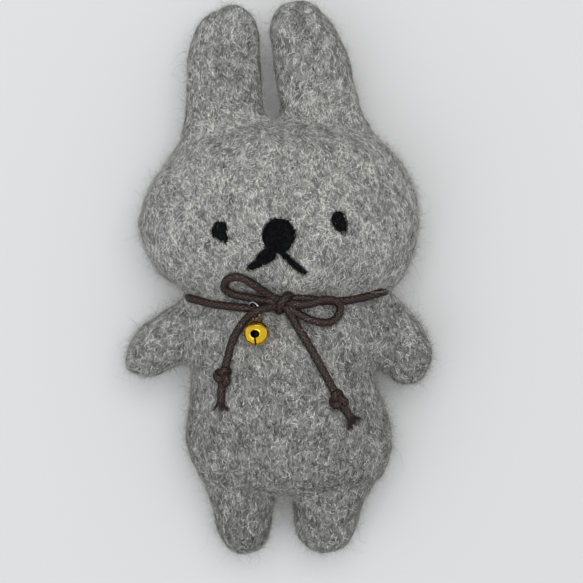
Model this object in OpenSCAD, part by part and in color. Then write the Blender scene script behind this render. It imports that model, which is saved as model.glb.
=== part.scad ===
// Stuffed felt rabbit doll with a cord bow and a jingle bell, lying on its back.
// +X is to the right seen from above, +Y runs from the feet to the ears, +Z comes up out of the face.
// The origin is on the surface the doll lies on, under the middle of its outline.

/* [Head] */
// Width across the cheeks
head_w = 84; // [80:0.5:86]
// Height of the head, from under the chin to the crown
head_h = 55.5; // [54:0.5:57]
// Thickness of the face half of the head, in front of its seam
face_t = 20; // [18:0.5:21]
// How far the head leans to its right shoulder, in degrees
head_lean = 3; // [1:0.5:4]

/* [Ears] */
// Length of an ear, from its fold to its tip
ear_l = 33.5; // [28:0.5:36]
// Width of an ear at its root
ear_w = 25; // [23:0.5:25.5]
// Thickness of an ear
ear_t = 13.6; // [12:0.2:14]

/* [Torso] */
// Width of the torso at the hips
torso_w = 62; // [60:0.5:64]
// Thickness of the belly half of the torso, in front of its seam
belly_t = 17; // [15.5:0.5:17]

/* [Limbs] */
// Radius of an arm at the shoulder
arm_r = 8.3; // [7.6:0.1:8.5]
// Length of the left arm, from its shoulder to the middle of the hand
left_arm_l = 10.8; // [9:0.2:12]
// Length of the right arm, from its shoulder to the middle of the hand
right_arm_l = 9.2; // [8:0.2:11]
// Radius of a leg at the hip
leg_r = 10.2; // [9.4:0.1:10.3]
// Radius of a foot
foot_r = 9; // [8.4:0.1:9.4]
// Length of a leg, from its hip to the middle of the foot
leg_l = 12.5; // [11:0.5:14]

/* [Felt] */
// Thickness of the felt
felt = 1.5; // [1:0.1:2]

/* [Face] */
// Height of an eye
eye_h = 6.4; // [5:0.1:7]
// Diameter of the nose
nose_d = 10; // [8:0.1:11]

/* [Cord and bell] */
// Diameter of the waxed cord
cord_d = 2; // [1.6:0.1:2]
// Diameter of the jingle bell
bell_d = 7.6; // [7.4:0.1:7.8]

/* [Hidden] */

// Left and right are as seen from above, looking at the face.
wool = "#8d8f8f";
fill = "#e8e6df";
black_wool = "#141414";
cord_brown = "#3d2b26";
gold = "#d9a514";
silver = "#c8c8cc";

// Joints: the middle of each fold, and the limits used to cut room for the arms and legs
neck_at = [1.8, -5.5, 15.5];
neck_r = 12.8;
neck_roll_l = 50; // length of the roll the head nods on
neck_core_r = 8;  // the thinner core that joins the roll to the torso
neck_core_l = 26;
arm_swing = [-15, 35];
leg_swing = [-8, 45];
left_arm_at = [-29, -16.5, 15];
right_arm_at = [31.4, -15.8, 15];
left_arm_heading = 123;
right_arm_heading = 220;
left_leg_at = [-10.2, -61.5, 12.6];
right_leg_at = [14.1, -61.5, 12.6];
leg_heading = 177;
hand_r = arm_r + 0.1;

// The ears sit on the crown, in the head's own frame: its neck fold is at y = 0.
ear_y = 54;
left_ear_x = -14.4;
right_ear_x = 13.2;
left_ear_lean = -2.5;
right_ear_lean = 7;

torso_seam_z = 15;
head_seam_z = 17;
ear_seam_z = 16;

shoulder_gap = 1.2; // from the neck fold up to where the head begins
clear = 0.35;   // between a fold's round root and the socket it turns in
fit = 0.1;      // between the felt and the stuffing
arc_steps = 12; // facets across half of a section
roundness = 2.3; // power of the superellipse that the sections and the neck cord follow
far = 200;

// Half sizes along each soft part, as [place from 0 to 1, share of the full size]
head_share = [[0, 1], [1, 1]];
torso_width_share = [[0, 0.86], [0.2, 1], [0.5, 0.91], [0.75, 0.95], [1, 0.98]];
torso_thick_share = [[0, 1], [0.5, 1], [0.75, 0.85], [1, 0.79]];
ear_width_share = [[0, 1], [0.5, 0.94], [1, 0.88]];

function share(list, t) = lookup(t, list);
function signed_pow(v, p) = (v < 0 ? -1 : 1) * pow(abs(v), p);
// How full a pillow is at place t along it: 0 at both ends, 1 in the middle
function pillow(t, n) = pow(max(0, 1 - pow(abs(2 * t - 1), n)), 1 / n);

// A half section from angle a0 over 180 degrees: a superellipse w wide and h thick on each side of z = 0
function half_section(y, w, h, a0) =
    [for (i = [0 : arc_steps]) let (a = a0 + 180 * i / arc_steps)
        [w * signed_pow(cos(a), 2 / roundness), y,
            i == 0 || i == arc_steps ? 0 : h * signed_pow(sin(a), 2 / roundness)]];

function reversed(list) = [for (i = [len(list) - 1 : -1 : 0]) list[i]];
function lower_half(section) = [for (i = [1 : arc_steps - 1]) section[i]];
function flat(lists) = [for (l = lists) each l];

// One solid through a list of closed rings. An end is closed by its pole points, or flat when it has none.
module loft(rings, first = [], last = []) {
    n = len(rings);
    m = len(rings[0]);
    points = concat(flat(rings), first, last);
    row = function (i, k) i < 0 ? (len(first) == 0 ? k : n * m + floor(k * len(first) / m))
        : i < n ? i * m + k
        : len(last) == 0 ? (n - 1) * m + k : n * m + len(first) + floor(k * len(last) / m);
    quads = [for (i = [(len(first) > 0 ? -1 : 0) : (len(last) > 0 ? n - 1 : n - 2)], k = [0 : m - 1])
        [row(i, k), row(i, (k + 1) % m), row(i + 1, (k + 1) % m), row(i + 1, k)]];
    cap = [for (k = [0 : m / 2 - 2]) [k, k + 1, m - 2 - k, m - 1 - k]];
    caps = concat(
        len(first) == 0 ? [for (q = cap) reversed(q)] : [],
        len(last) == 0 ? [for (q = cap) [for (v = q) v + (n - 1) * m]] : []);
    tris = [for (q = concat(quads, caps)) each [[q[0], q[1], q[2]], [q[0], q[2], q[3]]]];
    polyhedron(points, [for (t = tris) if (t[0] != t[1] && t[1] != t[2] && t[0] != t[2]) t]);
}

// Half of a felt cover: an outer and an inner half section in each ring, closed along the seam
module half_cover(outer, inner, first = [], last = []) {
    loft([for (i = [0 : len(outer) - 1]) concat(outer[i], reversed(inner[i]))], first, last);
}

// --- torso and head: pillows with a pole at each end, measured along y ---

pillow_rings = 16;
function places() = [for (i = [1 : pillow_rings - 1]) (1 - cos(180 * i / pillow_rings)) / 2];

function pillow_section(s, inset, t, a0) = let (full = pillow(t, s[6]))
    half_section(s[0] + inset + (s[1] - s[0] - 2 * inset) * t,
        (s[2] * share(s[4], t) - inset) * full,
        ((a0 == 0 ? s[3][0] : s[3][1]) * share(s[5], t) - inset) * full, a0);
function pillow_poles(s, inset, end) = [0, end == 0 ? s[0] + inset : s[1] - inset, 0];

// s = [y low, y high, half width, [front, back thickness], width share, thickness share, roundness]
head_size = [-4, head_h - 4, head_w / 2, [face_t, 17.8], head_share, head_share, 2.5];
torso_size = [-58.5, 4, torso_w / 2, [belly_t, 15.8], torso_width_share, torso_thick_share, 3];

module pillow_panel(s, front) {
    a0 = front ? 0 : 180;
    half_cover([for (t = places()) pillow_section(s, 0, t, a0)],
               [for (t = places()) pillow_section(s, felt, t, a0)],
               [pillow_poles(s, 0, 0), pillow_poles(s, felt, 0)],
               [pillow_poles(s, 0, 1), pillow_poles(s, felt, 1)]);
}

module pillow_fill(s) {
    inset = felt + fit;
    loft([for (t = places()) concat(pillow_section(s, inset, t, 0), lower_half(pillow_section(s, inset, t, 180)))],
         [pillow_poles(s, inset, 0)], [pillow_poles(s, inset, 1)]);
}

// --- exact round shapes for the limbs ---

// The half outline of a ball at the origin, a ball l further along, and the straight line that joins them
module capsule_outline(r1, r2, l) {
    a = asin((r1 - r2) / l);
    intersection() {
        union() {
            circle(r1, $fn = 64);
            translate([0, l]) circle(r2, $fn = 64);
            polygon([[0, 0], [r1 * cos(a), r1 * sin(a)], [r2 * cos(a), l + r2 * sin(a)], [0, l]]);
        }
        translate([0, -far / 2]) square([far, far]);
    }
}

// The round solid of that outline, along +Y
module capsule(r1, r2, l) {
    rotate([-90, 0, 0]) rotate_extrude($fn = 64) capsule_outline(r1, r2, l);
}

module limb_panel(r1, r2, l, front) {
    rotate([-90, front ? 180 : 0, 0]) rotate_extrude(angle = 180, $fn = 64) difference() {
        capsule_outline(r1, r2, l);
        capsule_outline(r1 - felt, r2 - felt, l);
    }
}

// The stuffing of a limb, an even roll as thick as its thinner end allows
module limb_fill(r1, r2, l) {
    r = min(r1, r2) - felt - fit;
    capsule(r, r, l);
}

// Everything above and below z = 0
module upper_half() { translate([-far / 2, -far / 2, 0]) cube([far, far, far]); }
module lower_half_space() { translate([-far / 2, -far / 2, -far]) cube([far, far, far]); }

// The room that a limb needs over its swing
module swing_room(r1, r2, l, swing) {
    hull() {
        sphere(r1 + clear, $fn = 32);
        for (a = [swing[0], (swing[0] + swing[1]) / 2, swing[1]])
            rotate([a, 0, 0]) translate([0, l, 0]) sphere(r2 + clear, $fn = 32);
    }
}

// A plain square notch in the stuffing, behind the root of a limb
module root_notch(r) {
    side = r + 1;
    translate([-side, -r - 2 * clear, -far / 2]) cube([2 * side, far, far]);
}

module at_left_arm() { translate(left_arm_at) rotate(left_arm_heading) children(); }
module at_right_arm() { translate(right_arm_at) rotate(right_arm_heading) children(); }
module at_left_leg() { translate(left_leg_at) rotate(leg_heading) children(); }
module at_right_leg() { translate(right_leg_at) rotate(leg_heading) children(); }

// --- torso ---

module at_torso() { translate([neck_at[0], 0, torso_seam_z]) children(); }

module arm_room() {
    at_left_arm() swing_room(arm_r, hand_r, left_arm_l, arm_swing);
    at_right_arm() swing_room(arm_r, hand_r, right_arm_l, arm_swing);
}

module leg_room() {
    at_left_leg() swing_room(leg_r, foot_r, leg_l, leg_swing);
    at_right_leg() swing_room(leg_r, foot_r, leg_l, leg_swing);
}

// A round bar along X, on the fold that it turns about
module roll(r, l) { rotate([0, 90, 0]) cylinder(r = r, h = l, center = true, $fn = 96); }

module above_neck() { translate([-far / 2, neck_at[1] + 0.5, -far / 2]) cube([far, far, far]); }

module torso_front_panel() {
    color(wool) difference() {
        at_torso() pillow_panel(torso_size, true);
        above_neck();
        arm_room();
        leg_room();
    }
}

module torso_back_panel() {
    color(wool) difference() {
        at_torso() pillow_panel(torso_size, false);
        above_neck();
        arm_room();
        leg_room();
        lower_half_space();
    }
}

// The stuffing ends in a roll at the neck, which the head nods on.
module torso_stuffing() {
    color(fill) {
        difference() {
            at_torso() pillow_fill(torso_size);
            above_neck();
            at_left_arm() root_notch(arm_r);
            at_right_arm() root_notch(arm_r);
            leg_room();
        }
        intersection() {
            translate(neck_at) roll(neck_r, neck_roll_l);
            translate([0, fit, 0]) above_neck();
        }
        translate(neck_at) roll(neck_core_r, neck_core_l);
    }
}

// --- head ---

module at_head() { translate([neck_at[0], neck_at[1], 0]) rotate(head_lean) children(); }
module at_head_seam() { at_head() translate([0, 0, head_seam_z]) children(); }
module at_left_ear() { at_head() translate([left_ear_x, ear_y, ear_seam_z]) rotate(left_ear_lean) children(); }
module at_right_ear() { at_head() translate([right_ear_x, ear_y, ear_seam_z]) rotate(right_ear_lean) children(); }

// Everything that the head leaves free: the neck roll's groove, the shoulders and the roots of the ears
module head_room() {
    translate(neck_at) roll(neck_r + clear, neck_roll_l + 4);
    translate([-far / 2, neck_at[1] + shoulder_gap - far, -far / 2]) cube([far, far, far]);
    at_left_ear() roll(ear_t / 2 + clear, ear_w + 3);
    at_right_ear() roll(ear_t / 2 + clear, ear_w + 3);
}

module head_front_panel() {
    color(wool) difference() {
        at_head_seam() pillow_panel(head_size, true);
        head_room();
    }
}

module head_back_panel() {
    color(wool) difference() {
        at_head_seam() pillow_panel(head_size, false);
        head_room();
        lower_half_space();
    }
}

module head_stuffing() {
    color(fill) difference() {
        at_head_seam() pillow_fill(head_size);
        head_room();
    }
}

// --- ears: a round root about the fold, then a tongue with a round tip ---

ear_root_steps = 4;
ear_tip_steps = 8;

function ear_sections(inset, a0) = let (r = ear_t / 2 - inset, w = ear_w / 2 - inset, l = ear_l - inset)
    concat(
        [for (i = [0 : ear_root_steps - 1]) let (a = 80 - 80 * i / ear_root_steps)
            half_section(-r * sin(a), w - 0.5 * r * (1 - cos(a)), r * cos(a), a0)],
        [for (i = [0 : ear_tip_steps - 1]) let (t = sin(90 * i / ear_tip_steps), full = pow(1 - pow(t, 3), 1 / 3))
            half_section(l * t, w * share(ear_width_share, t) * full, r * full, a0)]);
function ear_tip(inset) = [0, ear_l - inset, 0];

module ear_panel(front) {
    a0 = front ? 0 : 180;
    half_cover(ear_sections(0, a0), ear_sections(felt, a0), [], [ear_tip(0), ear_tip(felt)]);
}

module ear_fill() {
    front = ear_sections(felt + fit, 0);
    back = ear_sections(felt + fit, 180);
    loft([for (i = [0 : len(front) - 1]) concat(front[i], lower_half(back[i]))], [], [ear_tip(felt + fit)]);
}

module left_ear_front_panel() { color(wool) at_left_ear() ear_panel(true); }
module left_ear_back_panel() { color(wool) at_left_ear() ear_panel(false); }
module left_ear_stuffing() { color(fill) at_left_ear() ear_fill(); }
module right_ear_front_panel() { color(wool) at_right_ear() ear_panel(true); }
module right_ear_back_panel() { color(wool) at_right_ear() ear_panel(false); }
module right_ear_stuffing() { color(fill) at_right_ear() ear_fill(); }

// --- arms and legs ---

module left_arm_front_panel() { color(wool) at_left_arm() limb_panel(arm_r, hand_r, left_arm_l, true); }
module left_arm_back_panel() { color(wool) at_left_arm() limb_panel(arm_r, hand_r, left_arm_l, false); }
module left_arm_stuffing() { color(fill) at_left_arm() limb_fill(arm_r, hand_r, left_arm_l); }
module right_arm_front_panel() { color(wool) at_right_arm() limb_panel(arm_r, hand_r, right_arm_l, true); }
module right_arm_back_panel() { color(wool) at_right_arm() limb_panel(arm_r, hand_r, right_arm_l, false); }
module right_arm_stuffing() { color(fill) at_right_arm() limb_fill(arm_r, hand_r, right_arm_l); }
module left_leg_front_panel() { color(wool) at_left_leg() limb_panel(leg_r, foot_r, leg_l, true); }
module left_leg_back_panel() { color(wool) at_left_leg() limb_panel(leg_r, foot_r, leg_l, false); }
module left_leg_stuffing() { color(fill) at_left_leg() limb_fill(leg_r, foot_r, leg_l); }
module right_leg_front_panel() { color(wool) at_right_leg() limb_panel(leg_r, foot_r, leg_l, true); }
module right_leg_back_panel() { color(wool) at_right_leg() limb_panel(leg_r, foot_r, leg_l, false); }
module right_leg_stuffing() { color(fill) at_right_leg() limb_fill(leg_r, foot_r, leg_l); }

// --- face ---

// Height of the face above the head's seam, in the head's own frame
function face_z(x, y) = let (t = (y - head_size[0]) / (head_size[1] - head_size[0]), full = pillow(t, head_size[6]))
    face_t * full * pow(max(0, 1 - pow(abs(x) / (head_w / 2 * full), roundness)), 1 / roundness);

// Puts a flat piece on the face at (x, y), turned to lie on the surface
module on_face(x, y, lift = 0.15) {
    step = 0.5;
    dx = (face_z(x + step, y) - face_z(x - step, y)) / (2 * step);
    dy = (face_z(x, y + step) - face_z(x, y - step)) / (2 * step);
    at_head_seam() translate([x, y, face_z(x, y) + lift]) rotate([atan(dy), -atan(dx), 0]) children();
}

module eye() {
    linear_extrude(1) scale([0.78, 1]) circle(d = eye_h, $fn = 32);
}

left_eye_at = [-17.6, 19.6];
right_eye_at = [16.6, 20.4];
nose_at = [-0.9, 17.8];

module left_eye() { color(black_wool) on_face(left_eye_at[0], left_eye_at[1]) rotate(12) eye(); }
module right_eye() { color(black_wool) on_face(right_eye_at[0], right_eye_at[1]) rotate(-8) eye(); }

module nose() {
    nose_h = 2.4;
    ball_r = (pow(nose_d / 2, 2) + nose_h * nose_h) / (2 * nose_h);
    color(black_wool) on_face(nose_at[0], nose_at[1]) intersection() {
        translate([0, 0, nose_h - ball_r]) sphere(ball_r, $fn = 96);
        cylinder(r = nose_d, h = nose_h + 1, $fn = 96);
    }
}

// A stitch of thick wool lying on the face, l long between its round ends
module stitch(r, l) { translate([0, -l / 2, r]) capsule(r, r, l); }

module mouth_left_stitch() { color(black_wool) on_face(-6.9, 11, 0.3) rotate(-58) stitch(1.3, 5.2); }
module mouth_right_stitch() { color(black_wool) on_face(2.3, 9.6, 0.3) rotate(47) stitch(0.8, 7); }

// --- cord ---

tube_sides = 8;

function unit(v) = v / norm(v);

function tube_ring(p, dir, r) = let (side = unit(cross(dir, [0, 0, 1])), up = cross(side, dir))
    [for (k = [0 : tube_sides - 1]) let (a = 360 * (k + 0.5) / tube_sides)
        p + r * (side * cos(a) + up * sin(a))];

// A cord of radius r through the points of a route
module tube(p, r) {
    n = len(p);
    loft([for (i = [0 : n - 1]) tube_ring(p[i], unit(p[min(n - 1, i + 1)] - p[max(0, i - 1)]), r)]);
}

// The cord round the neck: an oval that dips to the bow in front
neck_cord_steps = 30;
neck_cord_half = [29.6, 15.6];
neck_cord_back = 13.2;
function neck_cord_point(a) = 
    let (side = signed_pow(cos(a), 2 / roundness), up = signed_pow(sin(a), 2 / roundness))
    [neck_at[0] + neck_cord_half[0] * side, -6.4 - 2.2 * max(0, up) + 0.4 * side,
        15.2 + (up > 0 ? neck_cord_half[1] : neck_cord_back) * up];

module neck_cord() {
    rings = [for (i = [0 : neck_cord_steps - 1]) let (a = 360 * i / neck_cord_steps)
        let (dir = unit(neck_cord_point(a + 1) - neck_cord_point(a - 1)), up = [0, 1, 0], out = unit(cross(dir, up)))
        [for (k = [0 : tube_sides - 1]) let (b = 360 * (k + 0.5) / tube_sides)
            neck_cord_point(a) + cord_d / 2 * (out * cos(b) + cross(out, dir) * sin(b))]];
    m = tube_sides;
    n = neck_cord_steps;
    tris = [for (i = [0 : n - 1], k = [0 : m - 1])
        let (a = i * m + k, b = i * m + (k + 1) % m, c = (i + 1) % n * m + (k + 1) % m, d = (i + 1) % n * m + k)
        each [[a, b, c], [a, c, d]]];
    color(cord_brown) difference() {
        polyhedron(flat(rings), tris);
        translate(knot_at) sphere(knot_r, $fn = 64);
    }
}

knot_at = [0.4, -7.8, 31.6];
knot_r = 2.7;
left_loop_route = [[0.6, -6.2, 32.8], [-3.6, -2.6, 34.4], [-9, -0.8, 35.4], [-13, 0, 35.6],
    [-16, -2, 35], [-14.6, -4.8, 33.8], [-9, -5.8, 33.2], [-4.8, -6.2, 33], [-1.6, -6.9, 32.4]];
right_loop_route = [[1.6, -6.6, 32.8], [5, -6.8, 34], [8, -7, 34.2], [12, -6.4, 34.2], [15.4, -6.6, 34],
    [17.2, -9, 33.6], [16.2, -11.8, 33.2], [13, -12.8, 33], [9, -11.6, 33.2], [5.6, -10.2, 33.2], [2.2, -8.6, 32.4]];
left_tail_route = [[0, -8.8, 32.2], [-3.2, -9.2, 33.4], [-7, -9.6, 34.9], [-10.8, -11.4, 34.2], [-13.4, -15.6, 32],
    [-15, -20, 31.4], [-16, -24.6, 31.8], [-17, -29, 32]];
right_tail_route = [[0.6, -8.4, 31.6], [2.6, -12, 32], [5.2, -15.4, 32.4], [7.8, -19, 33], [10.6, -24, 33.4],
    [13.4, -29, 33.4], [16.4, -35, 33]];
end_knot_r = 2.1;
left_end_knot_at = [-17.2, -29.6, 32.2];
right_end_knot_at = [16.8, -35.8, 33.1];
left_fray_to = [-18.8, -39.4, 32];
right_fray_to = [22, -43, 32.4];

module bow_knot() { color(cord_brown) translate(knot_at) sphere(knot_r, $fn = 64); }

module bow_loop(route) {
    color(cord_brown) difference() {
        tube(route, cord_d / 2);
        translate(knot_at) sphere(knot_r, $fn = 64);
    }
}

module cord_tail(route, end) {
    color(cord_brown) difference() {
        tube(route, cord_d / 2);
        translate(knot_at) sphere(knot_r, $fn = 64);
        translate(end) sphere(end_knot_r, $fn = 64);
    }
}

// The short brush of loose strands beyond an end knot
module frayed_end(from, to) {
    v = to - from;
    color(cord_brown) difference() {
        translate(from) rotate([0, acos(v[2] / norm(v)), atan2(v[1], v[0])])
            cylinder(r1 = cord_d / 2, r2 = cord_d * 0.75, h = norm(v), $fn = 48);
        translate(from) sphere(end_knot_r, $fn = 64);
    }
}

module left_bow_loop() { bow_loop(left_loop_route); }
module right_bow_loop() { bow_loop(right_loop_route); }
module left_cord_tail() { cord_tail(left_tail_route, left_end_knot_at); }
module right_cord_tail() { cord_tail(right_tail_route, right_end_knot_at); }
module left_end_knot() { color(cord_brown) translate(left_end_knot_at) sphere(end_knot_r, $fn = 64); }
module right_end_knot() { color(cord_brown) translate(right_end_knot_at) sphere(end_knot_r, $fn = 64); }
module left_frayed_end() { frayed_end(left_end_knot_at, left_fray_to); }
module right_frayed_end() { frayed_end(right_end_knot_at, right_fray_to); }

// --- bell ---

ring_r = 2.5;
ring_wire = 0.5;
bell_wall = 0.4;
slot_w = 0.6;
hole_d = 2.6;
hole_angle = 52; // from the middle of the slot to the round hole at each end of it
eye_r = 1.15;
eye_wire = 0.5;
eye_out = 1.3;   // from the shell to the middle of the eye
bell_at = [-6.9, -15.9, 34.3];
bell_tilt = 38;  // how far the slotted end is turned up from the feet
ring_tilt = -60; // how steeply the jump ring stands on its edge
eye_turn = 38;   // how far the bell's eye is turned to face along the jump ring
ring_at = [-7.1, -9.4, 30.6];

module torus(r, wire) { rotate_extrude($fn = 96) translate([r, 0]) circle(d = wire, $fn = 32); }

// The bell's frame: +Z points out of its eye, towards the cord
module at_bell() { translate(bell_at) rotate([-90 - bell_tilt, 0, 0]) children(); }

module jump_ring() {
    color(silver) translate(ring_at) rotate([0, ring_tilt, 0]) torus(ring_r, ring_wire);
}

module bell_eye() {
    color(gold) at_bell() difference() {
        translate([0, 0, bell_d / 2 + eye_out]) rotate([90, 0, eye_turn]) torus(eye_r, eye_wire);
        sphere(d = bell_d, $fn = 96);
    }
}

module bell_shell() {
    difference() {
        sphere(d = bell_d, $fn = 96);
        sphere(d = bell_d - 2 * bell_wall, $fn = 96);
    }
}

module bell_top_shell() {
    color(gold) at_bell() intersection() {
        bell_shell();
        upper_half();
    }
}

// The slot runs over the pole between two round holes.
module bell_slotted_shell() {
    slot_l = 2 * sin(hole_angle) * bell_d / 2;
    color(gold) at_bell() difference() {
        intersection() {
            bell_shell();
            lower_half_space();
        }
        translate([-slot_w / 2, -slot_l / 2, -bell_d]) cube([slot_w, slot_l, bell_d * 0.7]);
        for (a = [-hole_angle, hole_angle]) rotate([180 + a, 0, 0]) cylinder(d = hole_d, h = bell_d, $fn = 48);
    }
}

pellet_d = 2.6;
pellet_gap = 0.2; // between the pellet and the shell it lies on

module bell_pellet() {
    drop = (bell_d - pellet_d) / 2 - bell_wall - pellet_gap;
    color(silver) translate(bell_at - [0, 0, drop]) sphere(d = pellet_d, $fn = 64);
}

torso_front_panel();
torso_back_panel();
torso_stuffing();
head_front_panel();
head_back_panel();
head_stuffing();
left_eye();
right_eye();
nose();
mouth_left_stitch();
mouth_right_stitch();
left_ear_front_panel();
left_ear_back_panel();
left_ear_stuffing();
right_ear_front_panel();
right_ear_back_panel();
right_ear_stuffing();
left_arm_front_panel();
left_arm_back_panel();
left_arm_stuffing();
right_arm_front_panel();
right_arm_back_panel();
right_arm_stuffing();
left_leg_front_panel();
left_leg_back_panel();
left_leg_stuffing();
right_leg_front_panel();
right_leg_back_panel();
right_leg_stuffing();
neck_cord();
bow_knot();
left_bow_loop();
right_bow_loop();
left_cord_tail();
right_cord_tail();
left_end_knot();
right_end_knot();
left_frayed_end();
right_frayed_end();
jump_ring();
bell_eye();
bell_top_shell();
bell_slotted_shell();
bell_pellet();
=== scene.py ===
import math
import bpy
import numpy as np
from mathutils import Matrix, Vector, noise
from mathutils.bvhtree import BVHTree


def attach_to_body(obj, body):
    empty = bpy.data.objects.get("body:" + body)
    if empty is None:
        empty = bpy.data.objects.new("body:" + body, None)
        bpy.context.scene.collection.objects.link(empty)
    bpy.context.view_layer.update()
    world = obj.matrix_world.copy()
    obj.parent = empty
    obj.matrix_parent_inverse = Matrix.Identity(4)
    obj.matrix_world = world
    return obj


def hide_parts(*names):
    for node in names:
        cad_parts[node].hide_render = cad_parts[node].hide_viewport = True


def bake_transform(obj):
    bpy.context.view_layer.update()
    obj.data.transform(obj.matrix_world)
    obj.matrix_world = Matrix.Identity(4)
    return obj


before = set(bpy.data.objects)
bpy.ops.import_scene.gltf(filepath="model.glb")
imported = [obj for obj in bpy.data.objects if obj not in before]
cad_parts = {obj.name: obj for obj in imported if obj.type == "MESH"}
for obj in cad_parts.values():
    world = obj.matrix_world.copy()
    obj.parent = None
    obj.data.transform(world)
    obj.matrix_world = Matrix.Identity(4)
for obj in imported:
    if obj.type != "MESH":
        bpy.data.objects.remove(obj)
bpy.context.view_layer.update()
MM = 0.001
TURN = 6.283  # radians in a random turn
rng = np.random.default_rng(7)

# ---------------------------------------------------------------- materials

def principled(name):
    m = bpy.data.materials.new(name)
    m.use_nodes = True
    return m, m.node_tree.nodes, m.node_tree.links, m.node_tree.nodes["Principled BSDF"]


def plain(name, colour, rough=0.9, shine=0.3):
    m, *_, p = principled(name)
    p.inputs["Base Color"].default_value = (*colour, 1)
    p.inputs["Roughness"].default_value = rough
    p.inputs["Specular IOR Level"].default_value = shine
    return m


def grain(nodes, links, coord, scale, detail=2):
    """Noise that stays with the object. scale is in cycles a metre."""
    n = nodes.new("ShaderNodeTexNoise")
    n.inputs["Scale"].default_value = scale
    n.inputs["Detail"].default_value = detail
    links.new(coord, n.inputs["Vector"])
    return n.outputs["Fac"]


def ramp(nodes, links, value, *stops):
    """Colours along a value, from (place, colour) stops in order."""
    n = nodes.new("ShaderNodeValToRGB")
    e = n.color_ramp.elements
    e[0].position, e[0].color = stops[0][0], (*stops[0][1], 1)
    e[1].position, e[1].color = stops[-1][0], (*stops[-1][1], 1)
    for place, colour in stops[1:-1]:
        e.new(place).color = (*colour, 1)
    links.new(value, n.inputs["Fac"])
    return n.outputs["Color"]


def bump(nodes, links, height, p, strength, distance):
    b = nodes.new("ShaderNodeBump")
    b.inputs["Strength"].default_value = strength
    b.inputs["Distance"].default_value = distance
    links.new(height, b.inputs["Height"])
    links.new(b.outputs["Normal"], p.inputs["Normal"])


def felt(name, dark, mid, light, scale=1.0, relief=0.25, sheen=0.1, shine=0.2):
    """Heather felt: pale and dark wool in streaks, with a fine bump."""
    m, nodes, links, p = principled(name)
    coord = nodes.new("ShaderNodeTexCoord").outputs["Object"]
    stretch = nodes.new("ShaderNodeMapping")
    stretch.inputs["Scale"].default_value = (1500 * scale, 520 * scale, 900 * scale)
    links.new(coord, stretch.inputs["Vector"])
    streaks = grain(nodes, links, stretch.outputs["Vector"], 1.0, 5)
    patches = grain(nodes, links, coord, 260 * scale, 3)
    part, whole = nodes.new("ShaderNodeMath"), nodes.new("ShaderNodeMath")
    part.operation, whole.operation = "MULTIPLY", "MULTIPLY_ADD"
    part.inputs[1].default_value, whole.inputs[1].default_value = 0.45, 0.55  # shares of patches and streaks
    links.new(patches, part.inputs[0])
    links.new(streaks, whole.inputs[0])
    links.new(part.outputs[0], whole.inputs[2])
    colour = ramp(nodes, links, whole.outputs[0], (0.36, dark), (0.5, mid), (0.64, light))
    links.new(colour, p.inputs["Base Color"])
    p.inputs["Roughness"].default_value = 0.95
    p.inputs["Sheen Weight"].default_value = sheen
    p.inputs["Specular IOR Level"].default_value = shine
    bump(nodes, links, streaks, p, relief, 0.3 * MM)
    return m


WOOL = felt("wool_felt", (0.10, 0.10, 0.097), (0.20, 0.20, 0.192), (0.33, 0.33, 0.315))
BLACK = felt("black_felt", (0.001, 0.001, 0.0012), (0.002, 0.002, 0.0024), (0.006, 0.006, 0.007),
             scale=1.6, relief=0.6, sheen=0, shine=0.08)
FIBRES = [plain("fibre_pale", (0.86, 0.86, 0.82)),
          plain("fibre_light", (0.53, 0.53, 0.505)),
          plain("fibre_mid", (0.30, 0.30, 0.288)),
          plain("fibre_dark", (0.13, 0.13, 0.126)),
          plain("fibre_black", (0.022, 0.022, 0.022))]
BLACK_FIBRES = [plain("fibre_ink", (0.002, 0.002, 0.0025), shine=0.1),
                plain("fibre_soot", (0.012, 0.013, 0.015), shine=0.2)]


def cord_material():
    """Brown yarn with pale flecks: waxed spots, and painted highlights."""
    m, nodes, links, p = principled("waxed_cord")
    coord = nodes.new("ShaderNodeTexCoord").outputs["Object"]
    yarn, fleck_noise = grain(nodes, links, coord, 1500, 4), grain(nodes, links, coord, 2600, 2)
    mix = nodes.new("ShaderNodeMix")
    mix.data_type = "RGBA"
    mix.inputs["B"].default_value = (0.24, 0.18, 0.15, 1)
    brown = ramp(nodes, links, yarn, (0.32, (0.006, 0.0026, 0.0022)), (0.7, (0.052, 0.0215, 0.0165)))
    # pale flecks: waxed spots, and painted highlights
    flecks = ramp(nodes, links, fleck_noise, (0.66, (0, 0, 0)), (0.74, (0.6, 0.6, 0.6)))
    links.new(flecks, mix.inputs["Factor"])
    links.new(brown, mix.inputs["A"])
    links.new(mix.outputs["Result"], p.inputs["Base Color"])
    p.inputs["Roughness"].default_value = 0.46
    p.inputs["Specular IOR Level"].default_value = 0.42
    bump(nodes, links, yarn, p, 0.8, 0.2 * MM)
    return m


def metal(name, colour, rough):
    m, nodes, links, p = principled(name)
    spread = nodes.new("ShaderNodeMapRange")
    spread.inputs["To Min"].default_value = rough
    spread.inputs["To Max"].default_value = rough * 1.8
    coord = nodes.new("ShaderNodeTexCoord").outputs["Object"]
    links.new(grain(nodes, links, coord, 900), spread.inputs["Value"])
    links.new(spread.outputs["Result"], p.inputs["Roughness"])
    p.inputs["Base Color"].default_value = (*colour, 1)
    p.inputs["Metallic"].default_value = 1.0
    return m


CORD = cord_material()
# painted shade: near black for the faces in the grooves between the braid strands
GROOVE_SHADE = plain("cord_groove_shade", (0.004, 0.0016, 0.0014), 0.7)
# pale faces on the cord: waxed spots, and painted highlights
WAX_HIGHLIGHT = plain("cord_wax_highlight", (0.15, 0.11, 0.095), 0.5)
FRAY = plain("fray", (0.022, 0.011, 0.009), 0.6)
GOLD = metal("gold_plate", (0.95, 0.60, 0.04), 0.10)
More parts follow.
